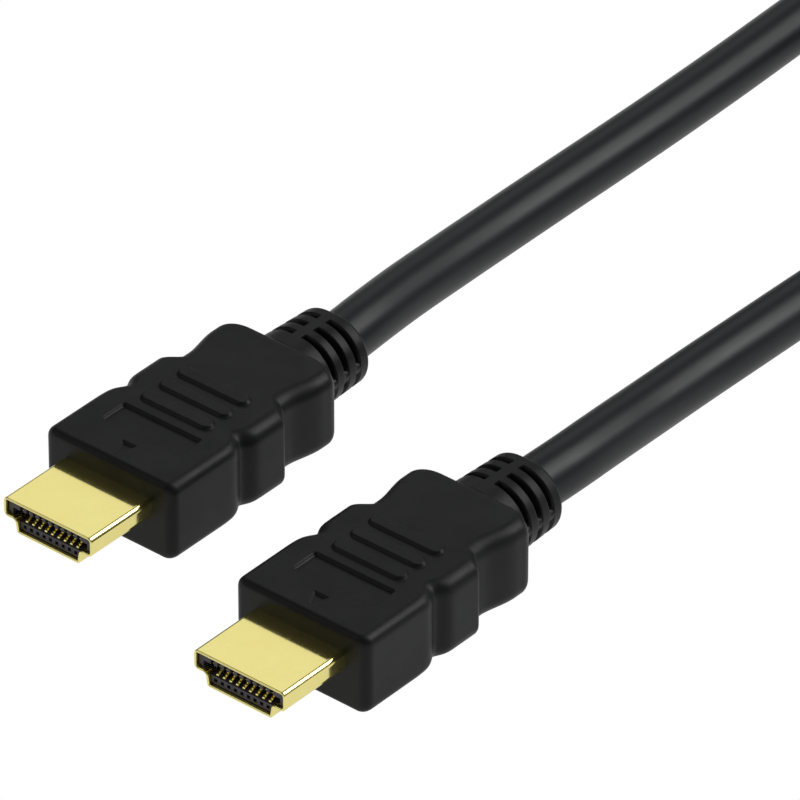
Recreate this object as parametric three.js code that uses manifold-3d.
import * as THREE from "three";
import { mergeVertices } from "three/addons/utils/BufferGeometryUtils.js";
import Module from "manifold-3d";

// A video and audio lead: two identical moulded plugs on one round cable.
// Millimetres. +Y runs from the plugs' mouths to the cable, +Z is up, the floor is z = 0.
// The origin is under the middle of the two plugs as they lie side by side.

// The plated shell, a D section wider at the top
const shellWidth = 13.9;
const shellHeight = 4.45;
const shellWaist = 10.4;
const shellShoulder = 2.72;
const shellLength = 10.8;
const shellWall = 0.35;
const shellRounding = 0.7;
const shellSeatGap = 0.1;

// The insulator inside the shell, with a slot for the socket's tongue
const insulatorRecess = 0.5;
const tongueWidth = 11.7;
const tongueHeight = 1.5;
const tongueRoof = 1.4;
const tongueDepth = 8.2;
const tongueSlant = 0.9;
const contactPitch = 1;
const upperContacts = 10;
const lowerContacts = 9;
const contactWidth = 0.42;
const contactThickness = 0.3;
const contactLength = 6.4;
const contactInset = 1.1;
const keyholeWidth = 0.5;
const keyholeHeight = 0.5;
const grooveHeight = 0.6;
const keyholeDepth = 1.6;

// The moulded grip over the rear of the shell, in plan and section
const gripWidth = 20.3;
const gripHeight = 10.9;
const gripLength = 31.8;
const gripEdge = 1.5;
const frontCorner = 1.3;
const frontWaistY = 13.5;
const frontWaistWidth = 18.75;
const rearWaistY = 23.2;
const rearWaistWidth = 16.5;
const rearBlockWidth = 18.3;
const rearCorner = 1.8;
const shellRise = 0.35;

// Marks on the top of the grip
const panelWidth = 12.1;
const panelLength = 4;
const panelFront = 5.9;
const panelDepth = 0.3;
const arrowWidth = 2;
const arrowLength = 2.35;
const arrowFront = 1.5;
const arrowDepth = 0.25;
const ribCount = 3;
const ribLength = 10.8;
const ribWidth = 2;
const ribPitch = 3.3;
const ribFront = 11.65;
const ribHeight = 0.3;

// The slotted strain relief at the rear of the grip
const reliefLength = 9.7;
const reliefWidth = 11.9;
const reliefHeight = 10.3;
const reliefTaper = 0.35;
const reliefRound = 0.6;
const slotRings = 3;
const slotFirst = 3;
const slotPitch = 2.25;
const slotWidth = 0.75;
const slotDepth = 1.3;
const slotBridge = 1.2;

// The cable and how it lies
const cableDiameter = 7.2;
const plugSpacing = 37.3;
const plugStagger = 8.6;
const jointGap = 0.3;
const coilX = 18.8;
const coilY = 170;
const coilRadius = 37.8;

// The tie round the coil
const tieWidth = 10;
const tieThickness = 0.8;
const tieGap = 0.5;

// Mesh fineness
const cornerSteps = 4;
const edgeSteps = 3;
const cableSides = 10;
const coilSegments = 48;

const plugLength = shellLength + gripLength + reliefLength;
const cableRadius = cableDiameter / 2;
const axisHeight = gripHeight / 2;
const rowLength = plugLength + plugStagger;
const coilBase = tieThickness + tieGap + cableRadius;
const pileHeight = (cableDiameter * Math.sqrt(3)) / 2;

const wasm = await Module();
wasm.setup();

const finishes = {
  shell: { color: 0xdcc468, roughness: 0.16, metalness: 1 },
  insulator: { color: 0x1d1a1e, roughness: 0.45, metalness: 0 },
  contact: { color: 0xe0c676, roughness: 0.22, metalness: 1 },
  grip: { color: 0x1c1d1f, roughness: 0.5, metalness: 0 },
  cable: { color: 0x1a1b1c, roughness: 0.4, metalness: 0 },
  tie: { color: 0x202124, roughness: 0.8, metalness: 0 },
};

// A closed three.js geometry as a solid, for joining and cutting.
function toSolid(geometry) {
  const plain = geometry.clone();
  plain.deleteAttribute("normal");
  plain.deleteAttribute("uv");
  const merged = mergeVertices(plain, 1e-4);
  return new wasm.Manifold(
    new wasm.Mesh({
      numProp: 3,
      vertProperties: merged.attributes.position.array,
      triVerts: new Uint32Array(merged.index.array),
    }),
  );
}

function toGeometry(solid) {
  const mesh = solid.getMesh();
  return new THREE.BufferGeometry()
    .setAttribute("position", new THREE.BufferAttribute(mesh.vertProperties, 3))
    .setIndex(new THREE.BufferAttribute(mesh.triVerts, 1));
}

function joinAll(first, others) {
  return others.reduce((sum, other) => sum.add(other), first);
}

function cutAll(first, others) {
  return others.reduce((rest, other) => rest.subtract(other), first);
}

function boxAt(width, length, height, x, y, z) {
  return toSolid(new THREE.BoxGeometry(width, length, height).translate(x, y, z));
}

// Shapes drawn in X and Z are extruded along +Y, starting at y = start.
function alongY(shape, start, length, curveSegments = cornerSteps) {
  return new THREE.ExtrudeGeometry(shape, {
    depth: length,
    bevelEnabled: false,
    curveSegments,
  })
    .rotateX(Math.PI / 2)
    .translate(0, start + length, 0);
}

// The D section, drawn inset from the shell's outer surface. ExtrudeGeometry's own
// plane is X and Y; alongY turns its Y to Z.
function shellSection(inset) {
  const side = shellWidth / 2 - inset;
  const top = shellHeight / 2 - inset;
  const waist = shellWaist / 2 - inset;
  const shoulder = shellHeight / 2 - shellShoulder + inset;
  const round = Math.max(shellRounding - inset, shellRounding / 3);
  const shape = new THREE.Shape();
  shape.moveTo(0, top);
  shape.lineTo(-side + round, top);
  shape.quadraticCurveTo(-side, top, -side, top - round);
  shape.lineTo(-side, shoulder + round);
  shape.quadraticCurveTo(-side, shoulder, -side + round, shoulder);
  shape.lineTo(-waist - round / 2, shoulder);
  shape.quadraticCurveTo(-waist, shoulder, -waist, shoulder - round / 2);
  shape.lineTo(-waist + round / 2, -top + round);
  shape.quadraticCurveTo(-waist + round / 2, -top, -waist + 1.5 * round, -top);
  shape.lineTo(waist - 1.5 * round, -top);
  shape.quadraticCurveTo(waist - round / 2, -top, waist - round / 2, -top + round);
  shape.lineTo(waist, shoulder - round / 2);
  shape.quadraticCurveTo(waist, shoulder, waist + round / 2, shoulder);
  shape.lineTo(side - round, shoulder);
  shape.quadraticCurveTo(side, shoulder, side, shoulder + round);
  shape.lineTo(side, top - round);
  shape.quadraticCurveTo(side, top, side - round, top);
  return shape;
}

function shellGeometry() {
  const section = shellSection(0);
  section.holes.push(new THREE.Path(shellSection(shellWall).getPoints(cornerSteps)));
  return alongY(section, 0, shellLength);
}

function rowPlaces(count) {
  return Array.from({ length: count }, (_, i) => (i - (count - 1) / 2) * contactPitch);
}

// Roof and floor of the tongue slot, measured from the shell's axis.
const slotTop = shellHeight / 2 - tongueRoof;
const slotFloor = slotTop - tongueHeight;

// The tongue's slot is open at the mouth, and narrows at the bottom as the shell does.
function tongueSlot() {
  const half = tongueWidth / 2;
  const foot = half - tongueSlant;
  const shape = new THREE.Shape([
    new THREE.Vector2(-half, slotTop),
    new THREE.Vector2(-half, slotTop - tongueHeight / 2),
    new THREE.Vector2(-foot, slotFloor),
    new THREE.Vector2(foot, slotFloor),
    new THREE.Vector2(half, slotTop - tongueHeight / 2),
    new THREE.Vector2(half, slotTop),
  ]);
  return toSolid(alongY(shape, 0, insulatorRecess + tongueDepth));
}

// Above, ten grooves in the slot's roof; below, nine square holes under its floor.
function insulatorGeometry() {
  const inset = shellWall + shellSeatGap;
  const length = shellLength - insulatorRecess;
  const block = toSolid(alongY(shellSection(inset), insulatorRecess, length));
  const reach = 2 * (insulatorRecess + keyholeDepth);
  const grooveZ = slotTop + (grooveHeight - tongueHeight) / 2;
  const holeZ = (-shellHeight / 2 + inset + slotFloor) / 2;
  const grooves = rowPlaces(upperContacts).map((x) =>
    boxAt(keyholeWidth, reach, grooveHeight + tongueHeight, x, 0, grooveZ),
  );
  const holes = rowPlaces(lowerContacts).map((x) =>
    boxAt(keyholeWidth, reach, keyholeHeight, x, 0, holeZ),
  );
  return toGeometry(cutAll(block, [tongueSlot(), ...grooves, ...holes]));
}

// The grip's right side in plan: half its width along the distance behind its front face.
// Each stretch between two of its named places is divided in fixed shares.
function gripSide() {
  const half = gripWidth / 2;
  const rear = rearBlockWidth / 2;
  const frontWaist = frontWaistWidth / 2;
  const rearWaist = rearWaistWidth / 2;
  const ahead = (share) => frontWaistY - share * (frontWaistY - frontCorner);
  const between = (share) => frontWaistY + share * (rearWaistY - frontWaistY);
  const behind = (share) => rearWaistY + share * (gripLength - rearCorner - rearWaistY);
  const side = [
    [half - frontCorner, 0],
    [half - 0.3 * frontCorner, 0.3 * frontCorner],
    [half, frontCorner],
    [half, ahead(0.37)],
    [half - 0.1 * (half - frontWaist), ahead(0.22)],
    [frontWaist, ahead(0.07)],
    [frontWaist, between(0.09)],
    [half - 0.15 * (half - frontWaist), between(0.28)],
    [half, between(0.5)],
    [half - 0.3 * (half - rearWaist), between(0.69)],
    [rearWaist + 0.2 * (half - rearWaist), between(0.89)],
    [rearWaist, behind(0.09)],
    [rear - 0.4 * (rear - rearWaist), behind(0.43)],
    [rear, behind(0.71)],
    [rear, gripLength - rearCorner],
    [rear - 0.3 * rearCorner, gripLength - 0.3 * rearCorner],
    [rear - rearCorner, gripLength],
  ].map(([x, y]) => new THREE.Vector3(x, y, 0));
  return new THREE.CatmullRomCurve3(side, false, "centripetal").getPoints(2 * side.length);
}

// The plain grip: its outline at several heights, drawn in towards the bottom and the top
// by a quarter circle, so that its edges are round.
function gripSlab() {
  const side = gripSide();
  const outlineAt = (inset, z) => {
    const shrink = (y) => inset + (y * (gripLength - 2 * inset)) / gripLength;
    const right = side.map((p) => new THREE.Vector3(p.x - inset, shrink(p.y), z));
    const left = right.map((p) => new THREE.Vector3(-p.x, p.y, z)).reverse();
    return [...right, ...left];
  };
  const layers = [];
  for (let i = 0; i <= edgeSteps; i++) {
    const turn = (i * Math.PI) / 2 / edgeSteps;
    const inset = gripEdge * (1 - Math.sin(turn));
    layers.push(outlineAt(inset, gripEdge * (1 - Math.cos(turn)) - gripHeight / 2));
  }
  for (const lower of [...layers].reverse())
    layers.push(lower.map((p) => new THREE.Vector3(p.x, p.y, -p.z)));
  const around = layers[0].length;
  const faces = [];
  for (let layer = 0; layer + 1 < layers.length; layer++)
    for (let i = 0; i < around; i++) {
      const next = (i + 1) % around;
      const [low, high] = [layer * around, (layer + 1) * around];
      faces.push(low + i, low + next, high + next, low + i, high + next, high + i);
    }
  const lid = THREE.ShapeUtils.triangulateShape(layers[0], []);
  const topStart = (layers.length - 1) * around;
  for (const [i, j, k] of lid)
    faces.push(i, k, j, topStart + i, topStart + j, topStart + k);
  return new THREE.BufferGeometry().setFromPoints(layers.flat()).setIndex(faces);
}

// A bar with round ends, lying across the grip.
function ribShape(y) {
  const reach = (ribLength - ribWidth) / 2;
  const shape = new THREE.Shape();
  shape.absarc(reach, y, ribWidth / 2, -Math.PI / 2, Math.PI / 2, false);
  shape.absarc(-reach, y, ribWidth / 2, Math.PI / 2, (3 * Math.PI) / 2, false);
  return shape;
}

function arrowShape() {
  const base = arrowFront + arrowLength;
  return new THREE.Shape([
    new THREE.Vector2(0, arrowFront),
    new THREE.Vector2(arrowWidth / 2, base),
    new THREE.Vector2(-arrowWidth / 2, base),
  ]);
}

// The strain relief's half width at a distance behind the grip, as a share of its base.
function reliefRadius(distance) {
  return 1 - ((reliefTaper * 2) / reliefWidth) * (distance / reliefLength);
}

function reliefSolid() {
  const half = reliefWidth / 2;
  const end = half * reliefRadius(reliefLength);
  const root = 2 * gripEdge;
  const profile = [
    [0, -root],
    [half, -root],
    [half * reliefRadius(slotFirst), slotFirst],
    [end, reliefLength - reliefRound],
    [end - reliefRound, reliefLength],
    [0, reliefLength],
  ].map(([r, y]) => new THREE.Vector2(r, y));
  const turned = new THREE.LatheGeometry(profile, 28).scale(1, 1, reliefHeight / reliefWidth);
  return toSolid(turned);
}

// One slot of a ring: a sector between two bridges, open outwards.
function slotSector(quarter, y) {
  const outer = reliefWidth;
  const inner = reliefHeight / 2 - slotDepth;
  const bridge = slotBridge / inner;
  const from = (quarter * Math.PI) / 2 + bridge / 2;
  const to = ((quarter + 1) * Math.PI) / 2 - bridge / 2;
  const shape = new THREE.Shape();
  shape.absarc(0, 0, inner, from, to, false);
  shape.absarc(0, 0, outer, to, from, true);
  return toSolid(alongY(shape, y - slotWidth / 2, slotWidth));
}

function gripGeometry() {
  const top = gripHeight / 2;
  const ribs = Array.from({ length: ribCount }, (_, i) => {
    const bar = new THREE.ExtrudeGeometry(ribShape(ribFront + ribWidth / 2 + i * ribPitch), {
      depth: ribHeight + gripEdge,
      bevelEnabled: false,
      curveSegments: 6,
    });
    return toSolid(bar.translate(0, 0, top - gripEdge));
  });
  const panelY = panelFront + panelLength / 2;
  const panel = boxAt(panelWidth, panelLength, 2 * panelDepth, 0, panelY, top);
  const arrow = toSolid(
    new THREE.ExtrudeGeometry(arrowShape(), {
      depth: 2 * arrowDepth,
      bevelEnabled: false,
    }).translate(0, 0, top - arrowDepth),
  );
  const relief = reliefSolid().translate([0, gripLength, 0]);
  const slots = [];
  for (let ring = 0; ring < slotRings; ring++)
    for (let quarter = 0; quarter < 4; quarter++)
      slots.push(slotSector(quarter, gripLength + slotFirst + ring * slotPitch));
  const whole = joinAll(toSolid(gripSlab()), [...ribs, relief]);
  return toGeometry(cutAll(whole, [panel, arrow, ...slots]));
}

function named(name, geometry, finish) {
  const mesh = new THREE.Mesh(geometry, new THREE.MeshStandardMaterial(finishes[finish]));
  mesh.name = name;
  return mesh;
}

function contactGeometry(top) {
  return new THREE.BoxGeometry(contactWidth, contactLength, contactThickness).translate(
    0,
    contactInset + contactLength / 2,
    top - contactThickness / 2,
  );
}

// One plug, with its mouth at y = 0 and the shell's axis at z = 0.
function plug(letter) {
  const group = new THREE.Group();
  group.add(named(`plug_${letter}_shell`, shellGeometry(), "shell"));
  group.add(named(`plug_${letter}_insulator`, insulatorGeometry(), "insulator"));
  rowPlaces(upperContacts).forEach((x, i) => {
    const contact = named(`plug_${letter}_contact_top_${i + 1}`, contactGeometry(slotTop), "contact");
    contact.position.x = x;
    group.add(contact);
  });
  rowPlaces(lowerContacts).forEach((x, i) => {
    const top = slotFloor + contactThickness;
    const contact = named(`plug_${letter}_contact_low_${i + 1}`, contactGeometry(top), "contact");
    contact.position.x = x;
    group.add(contact);
  });
  const grip = named(`plug_${letter}_grip`, gripGeometry(), "grip");
  grip.position.set(0, shellLength, -shellRise);
  group.add(grip);
  return group;
}

const mouths = {
  a: [-plugSpacing / 2, plugStagger - rowLength / 2],
  b: [plugSpacing / 2, -rowLength / 2],
};
const cable = new THREE.Group();
for (const letter of ["a", "b"]) {
  const placed = plug(letter);
  placed.position.set(...mouths[letter], axisHeight + shellRise);
  cable.add(placed);
}

// The routes of the two leads from their plugs to the coil, in X, Y and Z.
const leadRoutes = {
  a: [
    [-18.65, 30.75, 5.45],
    [-19.2, 37, 5.4],
    [-20.1, 45, 4.9],
    [-20.9, 54, 4.2],
    [-21.4, 64, 3.75],
    [-21.5, 75, 3.7],
    [-21.5, 86, 3.7],
    [-21.6, 98, 3.7],
    [-21.9, 111, 3.7],
    [-22.3, 124, 3.8],
    [-22.5, 136, 4.1],
    [-22.6, 147, 4.6],
    [-22.6, 158, 4.9],
  ],
  b: [
    [18.65, 22.15, 5.45],
    [18.75, 29, 5.4],
    [18.3, 37, 4.9],
    [17.65, 46, 4.1],
    [17.35, 56, 3.7],
    [17.5, 65, 3.7],
    [17.65, 74, 3.7],
    [17.9, 84, 3.7],
    [18.6, 93.5, 3.8],
    [19.9, 102.6, 4.3],
    [22.4, 111, 5.6],
    [26.2, 118.8, 8.3],
    [31.2, 126, 11],
    [36.9, 132.9, 12.3],
    [42.4, 139.3, 12],
  ],
};

// A round cable through a route's points, straight out of its plug.
function leadSolid(route) {
  const points = route.map((p) => new THREE.Vector3(...p));
  const curve = new THREE.CatmullRomCurve3(points, false, "centripetal");
  const section = new THREE.Shape();
  section.absarc(0, 0, cableRadius, 0, 2 * Math.PI, false);
  return toSolid(
    new THREE.ExtrudeGeometry(new THREE.Shape(section.getPoints(cableSides / 2).slice(0, -1)), {
      steps: route.length + 3,
      extrudePath: curve,
    }),
  );
}

// The pile of turns in section: two side by side and one in the groove between them,
// as the round outline that surrounds all three, grown by a margin.
function pileOutline(margin) {
  const reach = cableRadius + margin;
  const shape = new THREE.Path();
  const inner = coilRadius - cableRadius;
  const outer = coilRadius + cableRadius;
  shape.absarc(outer, coilBase, reach, -Math.PI / 2, Math.PI / 6, false);
  shape.absarc(coilRadius, coilBase + pileHeight, reach, Math.PI / 6, (5 * Math.PI) / 6, false);
  shape.absarc(inner, coilBase, reach, (5 * Math.PI) / 6, (3 * Math.PI) / 2, false);
  return shape;
}

function coilGeometry(margin) {
  const outline = pileOutline(margin).getPoints(cornerSteps);
  const turned = new THREE.LatheGeometry([...outline, outline[0].clone()], coilSegments);
  return turned.rotateX(Math.PI / 2).translate(coilX, coilY, 0);
}

const coilRoom = toSolid(coilGeometry(jointGap));
cable.add(named("cable_coil", coilGeometry(0), "cable"));
for (const letter of ["a", "b"]) {
  const lead = toGeometry(leadSolid(leadRoutes[letter]).subtract(coilRoom));
  cable.add(named(`cable_lead_${letter}`, lead, "cable"));
}

// A flat band once round the pile, on the far side of the coil.
function tieGeometry() {
  const band = new THREE.Shape(pileOutline(tieGap + tieThickness).getPoints(cornerSteps));
  band.holes.push(new THREE.Path(pileOutline(tieGap).getPoints(cornerSteps)));
  return alongY(band, -tieWidth / 2, tieWidth);
}

const tie = named("coil_tie", tieGeometry(), "tie");
tie.rotation.z = Math.PI / 2;
tie.position.set(coilX, coilY, 0);
cable.add(tie);

export default cable;
